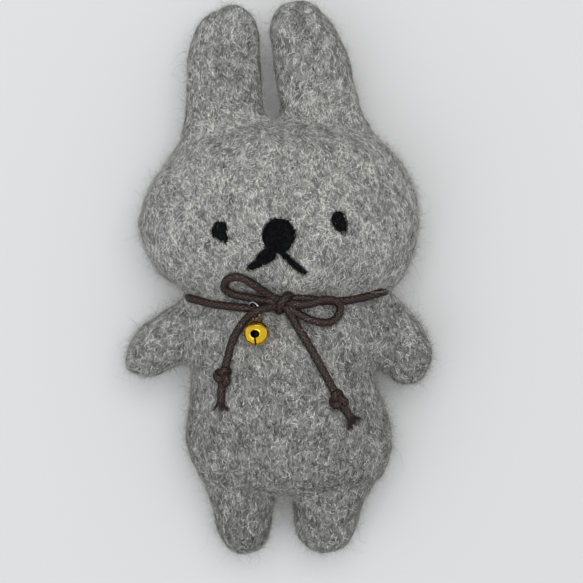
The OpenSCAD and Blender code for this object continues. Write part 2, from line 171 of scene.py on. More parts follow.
# a darker gold for the eye and for the rim between the shells: painted dark reflection
DARK_REFLECTION_GOLD = metal("gold_dark_reflection", (0.24, 0.13, 0.03), 0.3)
STEEL = metal("steel", (0.80, 0.80, 0.82), 0.16)
BALL = metal("pellet_steel", (0.05, 0.045, 0.04), 0.5)
# painted shade: near black for the inside of the bell, seen through the holes and the slot
INSIDE_SHADE = plain("bell_inside_shade", (0.006, 0.005, 0.003), 0.8, shine=0.1)

# ---------------------------------------------------------------- the wool body

def smooth_table(ys, values, y):
    """A monotone cubic through the stations, carried on straight beyond its ends."""
    ys, values = np.asarray(ys, float), np.asarray(values, float)
    h = np.diff(ys)
    slope = np.diff(values) / h
    m = np.zeros(len(ys))
    m[0], m[-1] = slope[0], slope[-1]
    for i in range(1, len(ys) - 1):
        if slope[i - 1] * slope[i] > 0:
            w1, w2 = 2 * h[i] + h[i - 1], h[i] + 2 * h[i - 1]
            m[i] = (w1 + w2) / (w1 / slope[i - 1] + w2 / slope[i])
    i = np.clip(np.searchsorted(ys, y) - 1, 0, len(h) - 1)
    t = (y - ys[i]) / h[i]
    inside = ((1 + 2 * t) * (1 - t) ** 2 * values[i] + t * (1 - t) ** 2 * h[i] * m[i]
              + t * t * (3 - 2 * t) * values[i + 1] + t * t * (t - 1) * h[i] * m[i + 1])
    below, above = values[0] + m[0] * (y - ys[0]), values[-1] + m[-1] * (y - ys[-1])
    return np.where(y < ys[0], below, np.where(y > ys[-1], above, inside))


K = 2.2


def soft_part(stations, centre, back=0.92, origin=(0, 0), heading=0):
    """A stuffed shape round an axis. stations: place along it, left edge, right edge, thickness in front.
    Gives about the distance in mm to its surface, negative inside."""
    s = np.array(stations, float)
    place, left, right, thick = s.T
    half = np.maximum((right - left) / 2, 0.01)
    a = math.radians(heading)

    def field(x, y, z):
        px, py = x - origin[0], y - origin[1]
        across, along = px * math.cos(a) + py * math.sin(a), -px * math.sin(a) + py * math.cos(a)
        mid = np.interp(along, place, (left + right) / 2)
        flat = np.interp(along, place[thick > 0], (thick / half)[thick > 0])
        full = smooth_table(place, np.sign(thick) * np.abs(thick) ** K, along)
        dz = z - centre
        dz = np.where(dz > 0, dz, dz / back)
        r = np.abs(flat * (across - mid)) ** K + np.abs(dz) ** K
        top = thick.max()
        return (r - full) / (K * (0.75 * top) ** (K - 1))
    return field


def join(a, b, k):
    h = np.clip(0.5 + 0.5 * (b - a) / k, 0, 1)
    return b * (1 - h) + a * h - k * h * (1 - h)


head_part = soft_part([
    (-9.5, -24, 27, 0), (-7.5, -25.5, 29, 8.6), (-5, -27.4, 31.2, 11.6), (-2.5, -30.2, 33.6, 14),
    (1, -35.6, 36.6, 16.4), (4.5, -38.2, 38.4, 17.8), (8, -40.2, 39.6, 18.8), (12, -41.6, 40.4, 19.6),
    (17, -42.3, 41.2, 20), (22, -41, 41, 20), (26, -39.6, 40, 19.6), (30, -37.3, 38.4, 18.8),
    (34, -34, 36.2, 17.6), (38, -30.2, 32.8, 15.9), (41.5, -25.6, 28, 12.6), (44.4, -20, 21.6, 8.4),
    (46, -14, 15.4, 5), (46.8, -8, 8.6, 0)], 17)
torso_part = soft_part([
    (-65, -13, 15, 0), (-64, -17.4, 20, 6), (-62.5, -20, 24.5, 9.2), (-60.5, -22.4, 28.4, 12),
    (-57, -25.2, 31, 14.8), (-53.3, -27, 32.4, 16.2), (-49.7, -28.2, 33.2, 16.9), (-46, -28.6, 33.2, 17),
    (-42.5, -28.2, 32.5, 16.9), (-38, -27.6, 30.9, 16.6), (-33.5, -27, 29.4, 16.2), (-29, -27, 28.4, 15.8),
    (-22, -28, 28.8, 15.3), (-15, -28.2, 30, 14.6), (-9, -27.2, 30.2, 13.2), (-5, -26, 29.6, 11.2),
    (-2.4, -23, 26.5, 8), (-0.6, -18, 21, 0)], 15)
left_ear_part = soft_part([
    (30, -27, -9, 0), (34, -28.6, -8, 4), (40, -28.8, -6, 5.8), (46, -28.6, -5.2, 6.6),
    (52, -28.4, -5.4, 7), (60, -27.9, -5.9, 7.2), (66, -27.7, -6.2, 7.2), (70, -27, -6.5, 7.1),
    (74, -25.6, -6.9, 6.7), (77, -23.6, -7.6, 6), (79.4, -20.2, -9.2, 4.9), (81, -17, -11.6, 3.3),
    (81.8, -14.8, -14, 0)], 16, 1)
right_ear_part = soft_part([
    (30, 6, 26, 0), (34, 5, 27, 4), (40, 3.4, 26, 5.8), (46, 1.2, 25, 6.6), (52, -0.2, 23.4, 7),
    (60, -1.6, 21.6, 7.2), (66, -2.4, 20.2, 7.2), (71, -2.9, 18.2, 7.1), (75, -3, 16, 6.7),
    (78, -2.4, 13.8, 6), (80.6, -0.9, 11.2, 4.9), (82.2, 1.6, 8.6, 3.3), (83, 4.8, 5.6, 0)], 16, 1)
left_arm_part = soft_part([
    (-9, -6, 6, 0), (-7, -7.4, 7.4, 5), (-3, -8.4, 8.4, 7.4), (3, -7.8, 9, 8), (8.5, -6.8, 8.9, 8.1),
    (13, -6.2, 7.4, 7.2), (16.6, -4.6, 5.4, 5.5), (18.9, -2.2, 2.8, 3.3),
    (19.9, 0, 0.6, 0)], 15, 1, (-29, -16.5), 123)
right_arm_part = soft_part([
    (-9, -6, 5.4, 0), (-7, -7.4, 6.6, 5), (-3, -9, 7.4, 7.4), (2, -9.5, 8, 8), (6, -9.2, 8.4, 8.2),
    (9.5, -8.4, 8.3, 8), (12.8, -6.9, 7.6, 7.2), (15.2, -5, 6.3, 5.6), (17, -2.4, 4.2, 3.4),
    (17.9, 0.5, 1.7, 0)], 15, 1, (31.4, -15.8), 220)
left_leg_part = soft_part([
    (-83, -12.2, -10.4, 0), (-82.2, -14.4, -8, 3.7), (-81, -16, -6, 5.6), (-79, -17.6, -4.3, 7.4),
    (-76, -19, -3.3, 8.8), (-72, -20, -2.7, 9.6), (-68, -21, -1.9, 10), (-64, -22.2, -0.7, 10.2),
    (-60, -23.2, 0, 10), (-56, -22, -2, 8.6), (-53, -18, -5, 0)], 12.6, 1)
right_leg_part = soft_part([
    (-82.6, 12.6, 14.6, 0), (-81.8, 9.8, 17, 3.7), (-80.6, 7.6, 19, 5.6), (-78.6, 5.7, 20.7, 7.4),
    (-75.6, 4.4, 22.1, 8.8), (-72, 3.9, 23.2, 9.6), (-68, 3.6, 24.8, 10), (-64, 3.2, 26.8, 10.2),
    (-60, 3, 28.6, 10), (-56, 5, 27, 8.6), (-53, 8, 24, 0)], 12.6, 1)


PARTS = {"torso": torso_part, "head": head_part, "left_ear": left_ear_part, "right_ear": right_ear_part,
         "left_arm": left_arm_part, "right_arm": right_arm_part,
         "left_leg": left_leg_part, "right_leg": right_leg_part}
BACK_EDGE = 1.5  # how far the round of the back runs up from the ground


def body_field(x, y, z):
    crown = head_part(x, y, z)
    head = np.minimum(join(crown, left_ear_part(x, y, z), 5), join(crown, right_ear_part(x, y, z), 5))
    legs = np.minimum(left_leg_part(x, y, z), right_leg_part(x, y, z))
    trunk = join(torso_part(x, y, z), legs, 1.6)
    trunk = join(join(trunk, left_arm_part(x, y, z), 2.6), right_arm_part(x, y, z), 2.6)
    whole = join(head, trunk, 1.8)
    return -join(-whole, z, BACK_EDGE)  # the back lies flat on the ground


def surface(field, step=1.0):
    """Surface nets: one vertex in each cell that the surface crosses, one quad across each crossed edge."""
    xs, ys, zs = np.arange(-52, 52, step), np.arange(-88, 88, step), np.arange(-2, 42, step)
    X, Y, Z = np.meshgrid(xs, ys, zs, indexing="ij")
    f = field(X, Y, Z)
    inside = f < 0
    n = np.array(f.shape) - 1
    total = np.zeros((*n, 3))
    count = np.zeros(n)
    corners = [(i, j, k) for i in (0, 1) for j in (0, 1) for k in (0, 1)]

    def part(a, c):
        return a[c[0]:c[0] + n[0], c[1]:c[1] + n[1], c[2]:c[2] + n[2]]
    for c in corners:
        for axis in range(3):
            if c[axis] == 0:
                d = list(c)
                d[axis] = 1
                fa, fb = part(f, c), part(f, d)
                cross = part(inside, c) != part(inside, d)
                t = np.where(cross, fa / np.where(cross, fa - fb, 1), 0)
                for i in range(3):
                    total[..., i] += np.where(cross, c[i] + (t if i == axis else 0), 0)
                count += cross
    used = count > 0
    index = np.full(n, -1)
    index[used] = np.arange(used.sum())
    cell = np.argwhere(used)
    verts = (cell + total[used] / count[used][:, None]) * step + np.array([xs[0], ys[0], zs[0]])
    quads = []
    for axis in range(3):
        b, c = (axis + 1) % 3, (axis + 2) % 3
        a0 = [slice(None)] * 3
        a1 = [slice(None)] * 3
        a0[axis], a1[axis] = slice(0, -1), slice(1, None)
        change = inside[tuple(a0)] != inside[tuple(a1)]
        where = np.argwhere(change)
        where = where[(where[:, b] > 0) & (where[:, c] > 0) & (where[:, b] < n[b]) & (where[:, c] < n[c])]
        out = inside[tuple(where.T)]
        ring = []
        for db, dc in ((0, 0), (-1, 0), (-1, -1), (0, -1)):
            w = where.copy()
            w[:, b] += db
            w[:, c] += dc
            ring.append(index[tuple(w.T)])
        q = np.stack(ring, 1)
        q[~out] = q[~out][:, ::-1]
        quads.append(q)
    return verts, np.concatenate(quads)


verts, quads = surface(body_field)
edges = np.unique(np.sort(np.concatenate([quads[:, [i, (i + 1) % 4]] for i in range(4)]), 1), axis=0)
degree = np.bincount(edges.ravel(), minlength=len(verts))[:, None]
for strength in (0.6, -0.62) * 3:  # in, then back out: evens the grid without shrinking it
    total = np.zeros_like(verts)
    np.add.at(total, edges[:, 0], verts[edges[:, 1]])
    np.add.at(total, edges[:, 1], verts[edges[:, 0]])
    verts = verts + strength * (total / degree - verts)


def vertex_normals(v, q):
    n = np.cross(v[q[:, 2]] - v[q[:, 0]], v[q[:, 3]] - v[q[:, 1]])
    out = np.zeros_like(v)
    for i in range(4):
        np.add.at(out, q[:, i], n)
    return out / np.maximum(np.linalg.norm(out, axis=1), 1e-9)[:, None]


normals = vertex_normals(verts, quads)
LUMPS = ((0.34, 0.16), (0.2, 0.45))  # height in mm, turns a mm
lumps = np.array([sum(high * noise.noise(Vector(v * fine)) for high, fine in LUMPS) for v in verts])
verts = verts + normals * np.where(verts[:, 2] > BACK_EDGE, lumps, 0)[:, None]
verts[:, 2] = np.maximum(verts[:, 2], 0.02)
normals = vertex_normals(verts, quads)

# The line where each limb begins: a point on it, the way it points, and how far the bend runs.
LIMBS = {
    "left_ear": ("head", (-2.7, 49.2), (-0.30, 0.954), 10),
    "right_ear": ("head", (-2.7, 49.2), (0.40, 0.917), 10),
    "left_arm": ("torso", (-27.3, -24), (-0.839, -0.545), 9),
    "right_arm": ("torso", (28.2, -28.4), (0.90, -0.435), 9),
    "left_leg": ("torso", (1.6, -67), (-0.45, -0.893), 9),
    "right_leg": ("torso", (1.6, -67), (0.45, -0.893), 9),
}
NECK_Y = -6.5


def on_arm(arm, v):
    return arm(*v.T) < torso_part(*v.T)


def past(name, v):
    """How far v is past the line where a limb begins, in mm; negative on the other side or off the limb."""
    _, at, way, _ = LIMBS[name]
    x, y = v[:, 0], v[:, 1]
    d = (x - at[0]) * way[0] + (y - at[1]) * way[1]
    if "ear" in name:
        middle = -2.7 - (y - 49.2) * 0.02
        room = (y > 38) & (x < middle if name == "left_ear" else x >= middle)
    elif name == "left_arm":
        room = (x < -20) & (y < -5) & on_arm(left_arm_part, v)
    elif name == "right_arm":
        room = (x > 20) & (y < -5) & on_arm(right_arm_part, v)
    else:
        room = (y < -50) & (x < 1.6 if name == "left_leg" else x >= 1.6)
    return np.where(room, d, -1)


centres = verts[quads].mean(1)
label = np.where(centres[:, 1] > NECK_Y, "head     ", "torso    ")
for limb in LIMBS:
    label[past(limb, centres) > 0] = limb
label = np.char.strip(label)

skin_tree = BVHTree.FromPolygons([Vector(v) for v in verts], [tuple(int(i) for i in q) for q in quads])


def top(x, y):
    """Height of the wool above the ground, in mm. A point off the wool gets a usual height."""
    hit = skin_tree.ray_cast(Vector((x, y, 80)), Vector((0, 0, -1)))[0]
    return hit.z if hit else 26.0


def new_object(name, v, faces, materials, which=None):
    """A smooth mesh from points in mm. faces is an array of quads, or a list of faces of any size."""
    mesh = bpy.data.meshes.new(name)
    if isinstance(faces, np.ndarray):
        mesh.vertices.add(len(v))
        mesh.vertices.foreach_set("co", (np.asarray(v) * MM).astype(np.float32).ravel())
        mesh.loops.add(faces.size)
        mesh.loops.foreach_set("vertex_index", faces.astype(np.int32).ravel())
        mesh.polygons.add(len(faces))
        starts = np.arange(len(faces)) * faces.shape[1]
        mesh.polygons.foreach_set("loop_start", starts.astype(np.int32))
    else:
        points = [tuple(p) for p in np.asarray(v) * MM]
        mesh.from_pydata(points, [], [tuple(int(i) for i in f) for f in faces])
    for m in materials:
        mesh.materials.append(m)
    if which is not None:
        mesh.polygons.foreach_set("material_index", np.asarray(which, np.int32))
    mesh.polygons.foreach_set("use_smooth", np.full(len(mesh.polygons), True))
    mesh.update(calc_edges=True)
    mesh.validate()
    o = bpy.data.objects.new(name, mesh)
    bpy.context.scene.collection.objects.link(o)
    return o


def attach(o, part):
    """Attaches o to the torso body for the torso; for any other part it only bakes o's transform into its
    mesh.
    """
    if part == "torso":
        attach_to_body(o, "torso")
    elif part == "head":
        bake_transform(o)
    else:
        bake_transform(o)


for part in PARTS:
    q = quads[label == part]
    used, back_index = np.unique(q, return_inverse=True)
    o = new_object(part + "_skin", verts[used], back_index.reshape(-1, 4), [WOOL])
    o.data.normals_split_custom_set_from_vertices([tuple(n) for n in normals[used]])
    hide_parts(part + "_front_panel", part + "_back_panel", part + "_stuffing")
    attach(o, part)

INSET = 0.7  # mm under the skin
for part, field in PARTS.items():  # the wool that shows where a crease opens
    v, q = surface(lambda x, y, z: -join(-field(x, y, z) - INSET, z - INSET, BACK_EDGE), 1.6)
    o = new_object(part + "_inner_felt", v, q, [WOOL])
    attach(o, part)

# ---------------------------------------------------------------- wool fibres

def ribbons(root, normal, way, length, width, lift, bend, points):
    """Flat fibres that lie along the wool: each is a strip of points - 1 quads."""
    side = np.cross(normal, way)
    side /= np.linalg.norm(side, axis=1)[:, None]
    s = np.linspace(0, 1, points)[None, :, None]
    mid = (root[:, None] + way[:, None] * length[:, None, None] * (s - 0.3)
           + side[:, None] * (bend * length)[:, None, None] * (s - 0.5) ** 2
           + normal[:, None] * (lift[:, None, None] * (0.25 + 1.5 * s * (1.15 - s))))
    taper = np.sin(np.pi * (0.12 + 0.8 * s)) * width[:, None, None]
    v = np.stack([mid - side[:, None] * taper, mid + side[:, None] * taper], 2).reshape(-1, 3)
    n = len(root)
    base = (np.arange(n) * points * 2)[:, None, None]
    step = (np.arange(points - 1) * 2)[None, :, None]
    f = base + step + np.array([0, 1, 3, 2])[None, None, :]
    return v, f.reshape(-1, 4)


tri = np.concatenate([quads[:, [0, 1, 2]], quads[:, [0, 2, 3]]])
tri_label = np.concatenate([label, label])
tri_cross = np.cross(verts[tri[:, 1]] - verts[tri[:, 0]], verts[tri[:, 2]] - verts[tri[:, 0]])
tri_area = np.linalg.norm(tri_cross, axis=1) / 2
tri_normal_z = normals[tri].mean(1)[:, 2]


def sample(faces, count, weight):
    p = tri_area[faces] * weight
    pick = faces[rng.choice(len(faces), count, p=p / p.sum())]
    a, b = rng.random(count), rng.random(count)
    flip = a + b > 1
    a[flip], b[flip] = 1 - a[flip], 1 - b[flip]
    t = tri[pick]

    def mix(arr):
        return arr[t[:, 0]] * (1 - a - b)[:, None] + arr[t[:, 1]] * a[:, None] + arr[t[:, 2]] * b[:, None]
    n = mix(normals)
    return mix(verts), n / np.linalg.norm(n, axis=1)[:, None]


WAVES = 14


def waves(p, scale, seed):
    """A smooth random value at each point, from a few plane waves; mostly from -1 to 1."""
    r = np.random.default_rng(seed)
    total = np.zeros(len(p))
    for _ in range(WAVES):
        k = r.normal(size=3) * scale
        total += np.sin(p @ k + r.random() * TURN)
    return total / 3.7  # about the root of WAVES


# The way the fibres lie on each part.
NAP = {"torso": (0.0, -1.0), "head": (0.15, -1.0), "left_ear": (0.1, -1.0), "right_ear": (0.25, -1.0),
       "left_arm": (-0.75, -0.66), "right_arm": (0.7, -0.7), "left_leg": (-0.15, -1), "right_leg": (0.15, -1)}
DENSITY = 5.5  # fibres in each square mm of the front
POINTS = 3  # along each fibre
# Darker spots painted into the fibre colours: x, y, size, depth. The deepest, at (33, -19) where the right
# arm meets the body, is painted shade of that join.
BLOTCHES = [(33, -19, 6, 0.7), (-22, 11.5, 5, 0.4), (5, 31, 6, 0.3),
            (-15, 60, 5, 0.3), (24, -58, 7, 0.3), (-9, -74, 6, 0.3)]
SHADES = [-1.0, -0.26, 0.38, 1.05]  # where one fibre colour gives way to the next


def shade(root):
    """Which fibre colour grows at each root: in small patches, with painted light and shade by height up the
    doll: paler on the head, darker on the ears and from the belly down.
    """
    y = root[:, 1]
    # the terms in y are painted light and shade: a paler head, darker ears, belly and legs
    tone = (0.6 * waves(root, 7, 13) + 0.40 * waves(root * np.array([1, 0.6, 1]), 1.2, 11)
            + 0.16 * waves(root, 0.35, 12) + 1.25 * rng.normal(size=len(root)) - 0.6
            + 0.40 * np.tanh((y + 4) / 10) - 0.27 * np.tanh((y - 52) / 6) + 0.16 * np.tanh((y + 36) / 6))
    for at_x, at_y, size, depth in BLOTCHES:
        tone -= depth * np.exp(-((root[:, 0] - at_x) ** 2 + (y - at_y) ** 2) / size ** 2)
    return np.digitize(-tone, SHADES)


def nap(part):
    faces = np.flatnonzero(tri_label == part)
    weight = np.where(tri_normal_z[faces] > -0.3, 1.0, 0.35)
    weight = np.where(verts[tri[faces]].mean(1)[:, 2] < 0.4, 0.04, weight)
    count = int((tri_area[faces] * weight).sum() * DENSITY)
    root, normal = sample(faces, count, weight)
    turn = 0.45 * waves(root, 0.22, 3) + 0.75 * rng.normal(size=count)
    base = np.array([*NAP[part], 0.0]) / np.hypot(*NAP[part])
    way = np.stack([base[0] * np.cos(turn) - base[1] * np.sin(turn),
                    base[0] * np.sin(turn) + base[1] * np.cos(turn), 0 * turn], 1)
    way -= normal * (way * normal).sum(1)[:, None]
    way += 1e-6
    way /= np.linalg.norm(way, axis=1)[:, None]
    length = rng.uniform(0.7, 2.3, count)
    width = rng.uniform(0.028, 0.06, count)
    lift = rng.uniform(0.03, 0.45, count)
    v, f = ribbons(root, normal, way, length, width, lift, rng.normal(size=count) * 0.9, POINTS)
    return v, f, np.repeat(shade(root), POINTS - 1)


LIMIT = 45000  # fibres in one piece
for part in PARTS:
    v, f, kind = nap(part)
    verts_each, faces_each = 2 * POINTS, POINTS - 1
    count = len(kind) // faces_each
    for i, start in enumerate(range(0, count, LIMIT)):
        stop = min(count, start + LIMIT)
        o = new_object(f"{part}_nap_{i + 1}", v[start * verts_each:stop * verts_each],
                       f[start * faces_each:stop * faces_each] - start * verts_each, FIBRES,
                       kind[start * faces_each:stop * faces_each])
        attach(o, part)


def strands(paths, radius, sides=3):
    """Thin round strands along paths of shape (count, points, 3)."""
    n, m, _ = paths.shape
    ahead = np.gradient(paths, axis=1)
    ahead /= np.linalg.norm(ahead, axis=2)[..., None] + 1e-9
    up = np.cross(ahead, np.array([0.31, 0.17, 0.94]))
    up /= np.linalg.norm(up, axis=2)[..., None] + 1e-9
    other = np.cross(ahead, up)
    taper = np.linspace(1, 0.35, m)[None, :, None]
    r = np.reshape(radius, (-1, 1, 1)) * taper
    angles = np.arange(sides) * 2 * math.pi / sides
    rings = [paths + r * (up * math.cos(a) + other * math.sin(a)) for a in angles]
    v = np.stack(rings, 2).reshape(-1, 3)
    base = (np.arange(n) * m * sides)[:, None, None, None]
    step = (np.arange(m - 1) * sides)[None, :, None, None]
    k = np.arange(sides)
    quad = np.stack([k, (k + 1) % sides, (k + 1) % sides + sides, k + sides], 1)[None, None]
    return v, (base + step + quad).reshape(-1, 4)


def curls(root, normal, length, points, wild):
    """Long loose fibres that leave the wool and curl."""
    n = len(root)
    side = np.cross(normal, rng.normal(size=(n, 3)))
    side /= np.linalg.norm(side, axis=1)[:, None]
    other = np.cross(normal, side)
    turn = np.cumsum(rng.normal(size=(n, points, 2)) * wild, axis=1) + rng.normal(size=(n, 1, 2)) * wild * 2
    step = (length / points)[:, None, None]
    out = np.cos(np.minimum(np.linalg.norm(turn, axis=2), 2.4))[..., None]
    move = (normal[:, None] * (0.25 + 0.75 * out) + side[:, None] * np.sin(turn[..., :1]) * 1.3
            + other[:, None] * np.sin(turn[..., 1:]) * 1.3) * step
    return root[:, None] + np.cumsum(move, axis=1)


FLY = {"torso": 900, "head": 1100, "left_ear": 320, "right_ear": 320, "left_arm": 300, "right_arm": 300,
       "left_leg": 330, "right_leg": 330}
HALO = {"torso": 5200, "head": 6500, "left_ear": 2400, "right_ear": 2400, "left_arm": 2300, "right_arm": 2300,
        "left_leg": 2500, "right_leg": 2500}
SHARES = [0.3, 0.3, 0.2, 0.13, 0.07]  # of the fibre colours among loose fibres
GROUND = 0.1  # loose fibres stay this far above it


def stray_roots(part, count, low, centre, spread, flat):
    """Roots near the outline of a part, none of them lower than low."""
    faces = np.flatnonzero(tri_label == part)
    edge = np.exp(-((tri_normal_z[faces] - centre) / spread) ** 2)
    height = verts[tri[faces]].mean(1)[:, 2]
    return sample(faces, count, np.where(height < low, 0, flat + edge))


def loose(name, part, path, thin, thick):
    path[..., 2] = np.maximum(path[..., 2], GROUND)
    v, f = strands(path, rng.uniform(thin, thick, len(path)))
    kind = rng.choice(len(FIBRES), len(path), p=SHARES)
    o = new_object(name, v, f, FIBRES, np.repeat(kind, len(f) // len(path)))
    attach(o, part)


for part, count in FLY.items():  # long curly fibres, none over the face
    root, normal = stray_roots(part, count, 2, 0, 0.45, 0.12)
    keep = (root[:, 2] < 32) | (np.hypot(root[:, 0] + 0.3, root[:, 1] - 10) > 10)
    root, normal = root[keep], normal[keep]
    length = rng.gamma(3.0, 1.05, len(root)).clip(1.2, 11)
    path = curls(root, normal, length, 9, 0.34)
    loose(part + "_loose_fibres", part, path, 0.016, 0.034)
for part, count in HALO.items():  # short fuzz that softens the outline
    root, normal = stray_roots(part, count, 3, 0.1, 0.3, 0.02)
    path = curls(root, normal, rng.gamma(3.0, 0.5, count).clip(0.5, 4.5), 5, 0.3)
    loose(part + "_fuzz", part, path, 0.011, 0.02)

# ---------------------------------------------------------------- the face

def felted_spot(name, node, outline, height, at, points=46, rings=12):
    """A pad of black wool felted on to the face. outline gives the point of its edge at an angle, in mm."""
    v, f = [], []
    for i in range(rings + 1):
        t = i / rings
        crown = height * max(0, 1 - t ** 2.6) ** 0.5
        for k in range(points):
            px, py = outline(2 * math.pi * k / points)
            rough = 1 + 0.05 * noise.noise(Vector((px * 2.1 + at[0], py * 2.1 + at[1], 3.3)))
            x, y = at[0] + px * t * rough, at[1] + py * t * rough
            z = top(x, y) + crown - (0.5 if i == rings else 0)  # the edge goes into the wool
            z += 0.12 * noise.noise(Vector((x * 1.3, y * 1.3, 1.7))) * (1 - t * t)
            v.append((x, y, z))
    v.append((*at, top(*at) + height))
    for i in range(rings):
        for k in range(points):
            j = (k + 1) % points
            if i:
                f.append((i * points + k, (i + 1) * points + k, (i + 1) * points + j, i * points + j))
            else:
                f.append((len(v) - 1, points + k, points + j))
    o = new_object(name, v, f, [BLACK])
    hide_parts(node)
    # short black fibres over it and just past its edge
    reach = max(outline(a)[0] ** 2 + outline(a)[1] ** 2 for a in np.linspace(0, 6.2, 24))
    count = int(150 + 26 * reach)
    a = rng.random(count) * TURN
    t = np.sqrt(rng.random(count)) * 1.02
    edge = np.array([outline(k) for k in a])
    x, y = at[0] + edge[:, 0] * t, at[1] + edge[:, 1] * t
    z = np.array([top(i, j) for i, j in zip(x, y)]) + height * np.maximum(0, 1 - t ** 2.6) ** 0.5
    out = np.stack([edge[:, 0], edge[:, 1], 0 * t], 1) * 0.12
    normal = out * t[:, None] ** 3 + np.array([0, 0, 1])
    normal /= np.linalg.norm(normal, axis=1)[:, None]
    spin = rng.random(count) * TURN
    way = np.stack([np.cos(spin), np.sin(spin), -0.1 + 0 * spin], 1)
    way -= normal * (way * normal).sum(1)[:, None]
    way /= np.linalg.norm(way, axis=1)[:, None]
    fv, ff = ribbons(np.stack([x, y, z], 1), normal, way, rng.uniform(0.8, 2.0, count),
                     rng.uniform(0.03, 0.06, count), rng.uniform(0.1, 0.3, count), rng.normal(size=count), 4)
    kind = rng.choice(2, count, p=[0.8, 0.2])
    n = new_object(name + "_nap", fv, ff, BLACK_FIBRES, np.repeat(kind, 3))
    attach(o, "head")
    attach(n, "head")


def between(a, b, c, d, t):
    """A smooth line from b to c that heads from a and on to d."""
    return 0.5 * (2 * b + (c - a) * t + (2 * a - 5 * b + 4 * c - d) * t ** 2
                  + (3 * b - a - 3 * c + d) * t ** 3)


def drawn(*points):
    """A smooth closed outline through given points round its middle, in mm."""
    p = np.array(points, float)
    t = np.linspace(0, 1, 24, endpoint=False)[:, None]
    line = np.concatenate([between(*(p[(i + k) % len(p)] for k in (-1, 0, 1, 2)), t) for i in range(len(p))])

    def outline(a):
        k = (a % (2 * math.pi)) / (2 * math.pi) * len(line)
        i = int(k) % len(line)
        return line[i] + (line[(i + 1) % len(line)] - line[i]) * (k - int(k))
    return outline


felted_spot("left_eye_felt", "left_eye", drawn(
    (-2.5, -0.6), (-2.1, 1.3), (-1.4, 2.5), (-0.2, 3), (1.4, 2.7), (2.3, 1.3), (1.8, -0.5), (2.5, -2),
    (1.9, -3.2), (0.7, -3.2), (-0.3, -2), (-1.7, -1.6)), 0.5, (-17.3, 13.1))
felted_spot("right_eye_felt", "right_eye", drawn(
    (-2.4, 1.3), (-1.6, 2.7), (-0.5, 3.1), (0.9, 2.9), (2, 0.9), (2.4, -1.3), (1.9, -3), (0.7, -3.1),
    (-1, -1.8), (-2.1, -0.3)), 0.5, (16.7, 15.7))
felted_spot("nose_felt", "nose", drawn(
    (-4.8, 1.2), (-3.8, 3.3), (-1.9, 4.8), (0, 5.1), (2.4, 4.5), (4, 2.6), (4.9, 0.2), (3.8, -2.4),
    (2.1, -4.5), (0.7, -5.2), (-1, -5), (-3.6, -3.8), (-4.8, -1.4)), 1.7, (-0.3, 11.9))
felted_spot("left_mouth_felt", "mouth_left_stitch", drawn(
    (0.2, 2.4), (1.6, 3.3), (4.3, 2), (3.8, 0), (1.4, -0.9), (-0.5, -1.9), (-2.1, -2.8), (-3.8, -2.8),
    (-4, -1.9), (-3.1, -1.2), (-1.6, -0.2), (-1, 1.2)), 0.5, (-5.5, 5.1))
felted_spot("right_mouth_felt", "mouth_right_stitch", drawn(
    (-3.6, 2.6), (-3.6, 3.5), (-2.7, 3.2), (-1.2, 1.4), (0.7, -0.2), (2.6, -1.6), (3.6, -2.6), (2.9, -3.1),
    (1.4, -2.1), (-0.3, -0.9), (-1.9, 0.7)), 0.4, (3.7, 4.2))

# ---------------------------------------------------------------- the waxed cord

CORD_R = 1.12
BRAID_TURN = 3.2  # mm of cord for one turn of a strand
RIDGES = 3  # strands each way, over half the way round


def curve(points, step=0.16):
    """An even line through given points, in mm."""
    p = np.array(points, float)
    p = np.concatenate([[2 * p[0] - p[1]], p, [2 * p[-1] - p[-2]]])
    out = []
    for i in range(1, len(p) - 2):
        out.append(between(*p[i - 1:i + 3], np.linspace(0, 1, 40, endpoint=False)[:, None]))
    out = np.concatenate(out + [p[-2:-1]])
    s = np.concatenate([[0], np.cumsum(np.linalg.norm(np.diff(out, axis=0), axis=1))])
    want = np.linspace(0, s[-1], max(4, int(s[-1] / step)))
    return np.stack([np.interp(want, s, out[:, i]) for i in range(3)], 1)


def lay(*route, gap=0.15):
    """A route on the wool: (x, y, extra height). Each point is set on the wool's surface."""
    return [(x, y, top(x, y) + CORD_R + gap + extra) for x, y, extra in route]


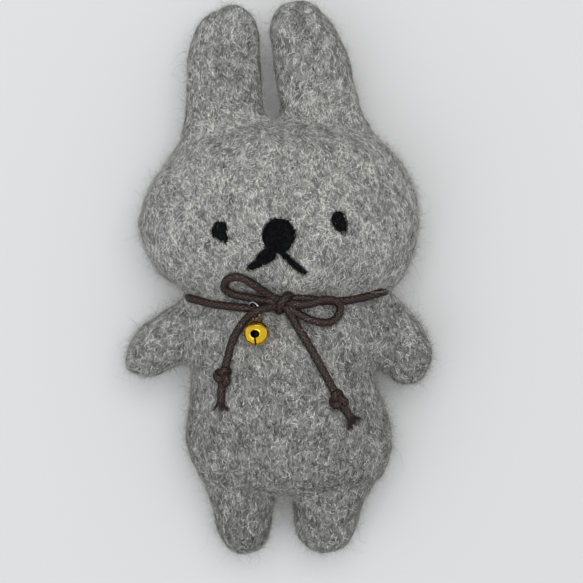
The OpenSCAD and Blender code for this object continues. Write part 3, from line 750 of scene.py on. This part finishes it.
def braid(path, radius=CORD_R, sides=24, closed=False):
    """A braided cord along a path, and the material of each face: strands cross on its surface; faces in the
    grooves between strands get painted shade, and a few faces get pale flecks, partly painted highlights.
    """
    n = len(path)
    ahead = (np.roll(path, -1, 0) - np.roll(path, 1, 0)) if closed else np.gradient(path, axis=0)
    ahead /= np.linalg.norm(ahead, axis=1)[:, None]
    up = np.zeros_like(path)
    u = np.cross(ahead[0], [0.2, 0.1, 1.0])
    for i in range(n):
        u = u - ahead[i] * (u @ ahead[i])
        u /= np.linalg.norm(u)
        up[i] = u
    side = np.cross(ahead, up)
    if closed:  # share the twist that is left over round the loop
        last = up[-1] - ahead[0] * (up[-1] @ ahead[0])
        off = math.atan2(last @ side[0], last @ up[0])
        back = (-off * np.arange(n) / n)[:, None]
        up, side = up * np.cos(back) + side * np.sin(back), side * np.cos(back) - up * np.sin(back)
    s = np.concatenate([[0], np.cumsum(np.linalg.norm(np.diff(path, axis=0), axis=1))])
    a = np.arange(sides) * 2 * math.pi / sides
    phase = s[:, None] * 2 * math.pi / BRAID_TURN
    ridge = np.maximum(np.abs(np.cos(RIDGES * a[None] + phase)), np.abs(np.cos(RIDGES * a[None] - phase)))
    r = radius * (0.87 + 0.22 * ridge ** 2.5)
    round_it = up[:, None] * np.cos(a)[None, :, None] + side[:, None] * np.sin(a)[None, :, None]
    v = (path[:, None] + r[..., None] * round_it).reshape(-1, 3)
    last = n if closed else n - 1
    i, k = np.meshgrid(np.arange(last), np.arange(sides), indexing="ij")
    j, l = (i + 1) % n, (k + 1) % sides
    corners = np.stack([i * sides + k, i * sides + l, j * sides + l, j * sides + k], 2)
    f = [tuple(q) for q in corners.reshape(-1, 4)]
    fleck_noise = waves(v[:last * sides], 3.4, 21) + 0.45 * rng.normal(size=len(f))
    # groove faces get the painted shade, a few others the pale flecks that are partly painted highlights
    which = np.where(ridge[:last].ravel() < 0.8, 1, np.where(fleck_noise > 1.9, 2, 0)).tolist()
    if not closed:
        f += [tuple(range(sides - 1, -1, -1)), tuple(range((n - 1) * sides, n * sides))]
        which += [0, 0]
    return v, f, which


def cord_piece(name, path, *nodes, **options):
    v, f, which = braid(path, **options)
    o = new_object(name, v, f, [CORD, GROOVE_SHADE, WAX_HIGHLIGHT], which)
    if nodes:
        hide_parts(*nodes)
    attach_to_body(o, "torso")
    return o


KNOT = (0.4, -7.4)
knot_z = top(*KNOT) + 2.4

# round the neck: over the front on the wool, round the sides and the back clear of the ground
front = [(-26.4, -6), (-24, -6.6), (-20, -7.6), (-15, -8.2), (-10, -8.7), (-5.6, -8.9), (-2.4, -8.2),
         (0.4, -7), (3.4, -6), (7, -6), (12, -6.6), (18, -6.7), (23.5, -5.8), (27.6, -4.7), (29.6, -4.1)]
left_side = (-28.4, -5.2, 14)
back = [(31.4, -3.8, 15), (29, -4.2, 7), (22, -5, 2.6), (10, -5.6, 1.2), (-6, -5.8, 1.2),
        (-19, -5.4, 2.4), (-26, -5.1, 7)]
collar_path = curve([left_side, *lay(*((x, y, 0) for x, y in front)), *back, left_side])[:-1]
cord_piece("neck_cord_braid", collar_path, "neck_cord", closed=True)

left_loop = curve([(0.2, -6.6, knot_z + 0.3), *lay(
    (-3.4, -5.0, 1.6), (-7.4, -2.1, 1.2), (-11.6, 0.1, 0.7), (-15.1, -0.4, 0.5), (-16.2, -2.8, 0.5),
    (-14, -4.6, 0.8), (-9.6, -5.6, 1.4), (-5.6, -6.4, 2.2), (-2.6, -6.9, 2.6)), (-0.4, -7.4, knot_z - 0.2)])
right_loop = curve([(0.8, -6.9, knot_z), *lay(
    (4.4, -7.7, 2.5), (8.4, -7.5, 2.4), (12.6, -6.3, 2.2), (16.2, -6.9, 1.4), (17.3, -9.2, 0.7),
    (15.8, -12, 0.4), (12.6, -12.9, 0.4), (8.6, -12, 0.5), (5.0, -10.2, 1.2), (2.6, -8.6, 1.8)),
    (1.0, -7.9, knot_z - 0.4)])
left_tail = curve([(0.2, -7.8, knot_z), *lay(
    (-3.1, -8.3, 2.9), (-6.8, -9.5, 4.2), (-9.9, -11.8, 2.7), (-12.5, -15.4, 0.7), (-14.2, -19, 0.1),
    (-15.4, -23.6, 0), (-16.4, -27.2, 0.4), (-16.9, -29.4, 0.5), (-17.1, -32, 0.1), (-17.3, -36, 0))])
right_tail = curve([(0.6, -7.8, knot_z), *lay(
    (1.9, -9, 2.0), (3.1, -11, 0.9), (5.2, -14.7, 0.2), (7.6, -18.5, 0), (10.2, -23, 0),
    (14.6, -31, 0), (16.1, -34, 0.4), (17.2, -36, 0.5), (18.6, -38, 0.1), (20.2, -40.2, 0))])


def length_of(path):
    return float(np.linalg.norm(np.diff(path, axis=0), axis=1).sum()) * MM


def knot_path(at, way, size=1.45, points=150):
    """An overhand knot: a trefoil drawn tight, at a point, pulled along a direction in the plane."""
    t = np.linspace(0, 2 * math.pi, points, endpoint=False)
    x = 0.52 * size * (np.sin(t) + 2 * np.sin(2 * t))
    y = 0.42 * size * (np.cos(t) - 2 * np.cos(2 * t))
    z = -0.62 * size * np.sin(3 * t)
    c, s = math.cos(way), math.sin(way)
    return np.stack([at[0] + x * c - y * s, at[1] + x * s + y * c, at[2] + z], 1)


def fray(name, node, at, way, spread, long=3.6, count=44):
    """The loose strands at the end of a cord."""
    w = np.array([way[0], way[1], 0.0])
    w /= np.linalg.norm(w)
    side = np.array([-w[1], w[0], 0])
    upward = np.array([0, 0, 1.0])
    a, r = rng.random(count) * TURN, np.sqrt(rng.random(count)) * 0.8
    start = at + side * (r * np.cos(a))[:, None] + upward * (r * np.sin(a))[:, None] - w * 0.8
    s = np.linspace(0, 1, 9)[None, :, None]
    long = long * rng.uniform(0.65, 1.1, count)[:, None, None]
    swing = (np.cos(a) * spread * rng.uniform(0.4, 1.3, count))[:, None, None] * side
    swing = swing + (np.sin(a) * spread * 0.6 * rng.uniform(0.4, 1.3, count))[:, None, None] * upward
    wiggle = (rng.normal(size=(count, 1, 3)) * np.sin(s * 5 + rng.random((count, 1, 1)) * 6)) * 0.16
    path = start[:, None] + w * long * s + swing * s ** 1.5 + wiggle * s
    low = np.array([[top(p[0], p[1]) for p in line] for line in path])
    path[..., 2] = np.maximum(path[..., 2], low + 0.2)
    v, f = strands(path, rng.uniform(0.12, 0.2, count), 5)
    o = new_object(name, v, f, [FRAY])
    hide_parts(node)
    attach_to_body(o, "torso")
    return o


pieces = {}
for side, path, (x, y), heading in (
        ("left", left_tail, (-16.7, -28.4), -1.75), ("right", right_tail, (16.7, -35.2), -0.98)):
    tight = knot_path((x, y, top(x, y) + 1.75), heading)
    pieces[side + "_knot"] = cord_piece(side + "_end_knot_braid", tight, side + "_end_knot",
                                        radius=1.08, closed=True)
    end, before = path[-1], path[-8]
    pieces[side + "_fray"] = fray(side + "_fray_strands", side + "_frayed_end", end, (end - before)[:2], 2.1)
# the stretch that goes once round the middle of the bow
wrap = [(1.0 + 1.5 * math.cos(a) - 0.5 * math.sin(a), -7.2 + 2.0 * math.cos(a) + 0.4 * math.sin(a),
         knot_z - 0.3 + 2.0 * math.sin(a + 0.1)) for a in np.linspace(0, 2 * math.pi, 17)]
cord_piece("bow_knot_wrap", curve(wrap)[:-1], "bow_knot", radius=1.3, closed=True)
for name, path, node, end, extra in (
        ("left_loop_braid", left_loop, "left_bow_loop", "object", ()),
        ("right_loop_braid", right_loop, "right_bow_loop", "object", ()),
        ("left_tail_braid", left_tail, "left_cord_tail", "knot",
         (pieces["left_knot"], pieces["left_fray"])),
        ("right_tail_braid", right_tail, "right_cord_tail", "knot",
         (pieces["right_knot"], pieces["right_fray"]))):
    o = cord_piece(name, path, node)
    [tuple(p * MM) for p in path[::3]]
    print("CORD", name, round(length_of(path) * 1000, 1))

# ---------------------------------------------------------------- bell and jump ring

BELL = Vector((-6.8, -15.9, 34.3))
BELL_R = 3.62
WALL = 0.4
LIP = 0.06  # how far the shells stand out where they meet
TILT = 38  # how far the slotted end is turned up from the feet
HOLE = 52  # from the middle of the slot to the round hole at each end of it
HOLE_R = 1.3
SLOT = (0.52, 5.4, 4)  # width, length and depth of the cut
EYE_OUT = 1.35  # from the shell to the middle of the eye


def turned_profile(profile, sides=72):
    """A shell turned about z from a closed line of (radius, height)."""
    v, f = [], []
    n = len(profile)
    for k in range(sides):
        a = 2 * math.pi * k / sides
        v += [(r * math.cos(a), r * math.sin(a), h) for r, h in profile]
    for k in range(sides):
        for i in range(n):
            j, l = (i + 1) % n, (k + 1) % sides
            f.append((k * n + i, l * n + i, l * n + j, k * n + j))
    return v, f


def ring_mesh(radius, wire, gap=0.0, around=72, sides=14):
    v, f = [], []
    span = 2 * math.pi - gap
    count = around if gap == 0 else around + 1
    for i in range(count):
        a = gap / 2 + span * i / around
        for k in range(sides):
            b = 2 * math.pi * k / sides
            r = radius + wire * math.cos(b)
            v.append((r * math.cos(a), r * math.sin(a), wire * math.sin(b)))
    for i in range(around):
        j = (i + 1) % count if gap == 0 else i + 1
        for k in range(sides):
            l = (k + 1) % sides
            f.append((i * sides + k, j * sides + k, j * sides + l, i * sides + l))
    if gap:
        f += [tuple(range(sides)), tuple(range(around * sides + sides - 1, around * sides - 1, -1))]
    return v, f


def turned(degrees, axis):
    return Matrix.Rotation(math.radians(degrees), 4, axis)


def placed(name, v, f, material, matrix, slot, body, *nodes):
    o = new_object(name, [matrix @ Vector(p) for p in v], f, [material])
    if nodes:
        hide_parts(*nodes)
    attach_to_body(o, body)
    return o


at_bell = Matrix.Translation(BELL) @ turned(-5, "Z") @ turned(-90 - TILT, "X") @ turned(-9, "Z")


def half_shell(way, step=6):
    """The outline of half the bell, up or down its axis: out over the outside, back along the inside."""
    arc = [math.radians(a) for a in range(0, 91, step)]
    inner = BELL_R - WALL
    outside = [(BELL_R * math.sin(a), way * BELL_R * math.cos(a)) for a in arc]
    inside = [(inner * math.sin(a), way * inner * math.cos(a)) for a in reversed(arc)]
    outside[0], inside[-1] = (0.02, way * BELL_R), (0.02, way * inner)
    outside[-1] = (BELL_R + LIP, 0.0)
    return outside + inside


v, f = turned_profile([(r, h + 0.03) for r, h in half_shell(1)])
top_shell = placed("bell_top", v, [q[::-1] for q in f], GOLD, at_bell, "gold_plate", "bell", "bell_top_shell")
top_shell.data.materials.append(INSIDE_SHADE)


def shade_inside(mesh):
    """Painted shade inside the bell: faces that look to the middle of the bell get the near-black material.
    """
    middle = BELL * MM
    for face in mesh.polygons:
        out = face.center - middle
        face.material_index = int(face.normal.dot(out) < 0 and out.length < (BELL_R - 0.5 * WALL) * MM)


def slotted_shell():
    """The lower shell, cut by a slot with a round hole at each end."""
    v, f = turned_profile(half_shell(-1))
    mesh = bpy.data.meshes.new("bell_slotted")
    mesh.from_pydata([tuple(Vector(p) * MM) for p in v], [], f)
    o = bpy.data.objects.new("bell_slotted", mesh)
    bpy.context.scene.collection.objects.link(o)
    cutters = []
    for a in (-HOLE, HOLE):
        bpy.ops.mesh.primitive_cylinder_add(vertices=40, radius=HOLE_R * MM, depth=6 * MM)
        cutters.append(bpy.context.object)
        out = Matrix.Translation((0, 0, 4.4 * MM))  # so that it cuts one wall only
        cutters[-1].matrix_world = turned(180 + a, "X") @ out @ Matrix.Diagonal((1.06, 0.9, 1, 1))
    bpy.ops.mesh.primitive_cube_add(size=1)
    cutters.append(bpy.context.object)
    size = Matrix.Diagonal((*(n * MM for n in SLOT), 1))
    cutters[-1].matrix_world = Matrix.Translation((0, 0, -3.4 * MM)) @ size
    bpy.context.view_layer.update()
    for c in cutters:
        m = o.modifiers.new("cut", "BOOLEAN")
        m.operation, m.solver, m.object = "DIFFERENCE", "EXACT", c
    m = o.modifiers.new("edge", "BEVEL")
    m.width, m.segments, m.limit_method, m.angle_limit = 0.06 * MM, 2, "ANGLE", math.radians(50)
    bpy.context.view_layer.update()
    done = bpy.data.meshes.new_from_object(o.evaluated_get(bpy.context.evaluated_depsgraph_get()))
    for c in (*cutters, o):
        bpy.data.objects.remove(c)
    o = bpy.data.objects.new("bell_slotted", done)
    bpy.context.scene.collection.objects.link(o)
    for m in (Matrix.Scale(1 / MM, 4), at_bell, Matrix.Scale(MM, 4)):
        done.transform(m)
    done.materials.clear()
    done.materials.append(GOLD)
    done.materials.append(INSIDE_SHADE)
    shade_inside(done)
    done.polygons.foreach_set("use_smooth", np.full(len(done.polygons), True))
    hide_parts("bell_slotted_shell")
    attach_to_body(o, "bell")


shade_inside(top_shell.data)
slotted_shell()
v, f = ring_mesh(BELL_R - 0.02, 0.12)
placed("bell_rim", v, f, DARK_REFLECTION_GOLD, at_bell, "gold_plate", "bell")
v, f = ring_mesh(1.2, 0.27)
at_eye = at_bell @ Matrix.Translation((0, 0, BELL_R + EYE_OUT)) @ turned(38, "Z") @ turned(90, "X")
placed("bell_eye_ring", v, f, DARK_REFLECTION_GOLD, at_eye, "gold_plate", "bell", "bell_eye")
v, f = ring_mesh(2.5, 0.25, gap=0.06)
at_ring = Matrix.Translation((-7.7, -9.4, 30.4)) @ turned(15, "Z") @ turned(-50, "Y") @ turned(-130, "Z")
placed("jump_ring_wire", v, f, STEEL, at_ring, "steel", "jump_ring", "jump_ring")
PELLET_R, PELLET_DROP = 1.25, 1.9
bpy.ops.mesh.primitive_uv_sphere_add(segments=32, ring_count=20, radius=PELLET_R * MM,
                                     location=(BELL + Vector((0, 0, -PELLET_DROP))) * MM)
pellet = bpy.context.object
pellet.name = "bell_pellet_ball"
pellet.data.materials.append(BALL)
pellet.data.polygons.foreach_set("use_smooth", np.full(len(pellet.data.polygons), True))
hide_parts("bell_pellet")
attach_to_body(pellet, "pellet")

# ---------------------------------------------------------------- floor, light and camera

bpy.ops.mesh.primitive_plane_add(size=3, location=(0, 0, -0.0001))
floor = bpy.context.object
floor.name = "floor"
floor.data.materials.append(plain("paper", (0.625, 0.625, 0.633), 0.8))


def area(name, at, size, power, colour=(1, 1, 1), toward=(0, 0, 0)):
    light = bpy.data.lights.new(name, "AREA")
    light.shape, light.size, light.energy, light.color = "SQUARE", size, power, colour
    o = bpy.data.objects.new(name, light)
    o.location = at
    o.rotation_euler = (Vector(toward) - Vector(at)).to_track_quat("-Z", "Y").to_euler()
    bpy.context.scene.collection.objects.link(o)


area("key", (0.05, 0.2, 0.95), 0.8, 5.2, (1.0, 0.99, 0.97))
area("fill", (-0.6, -0.35, 0.7), 0.9, 1.9, (0.97, 0.99, 1.0))
world = bpy.data.worlds.new("studio")
bpy.context.scene.world = world
world.use_nodes = True
world.node_tree.nodes["Background"].inputs["Color"].default_value = (0.97, 0.985, 1.0, 1)
world.node_tree.nodes["Background"].inputs["Strength"].default_value = 0.66
bpy.context.scene.view_settings.view_transform = "Standard"

VIEW_WIDTH, VIEW_FROM = 0.1749, 0.405  # the picture is this wide at this distance, in m
cam = bpy.data.cameras.new("camera")
camera = bpy.data.objects.new("camera", cam)
camera.location = (3.15 * MM, -3.9 * MM, 0.420)
cam.sensor_width = cam.sensor_height = 36
cam.sensor_fit = "AUTO"
cam.lens = cam.sensor_width * VIEW_FROM / VIEW_WIDTH
cam.clip_start = 0.01
bpy.context.scene.collection.objects.link(camera)
bpy.context.scene.camera = camera
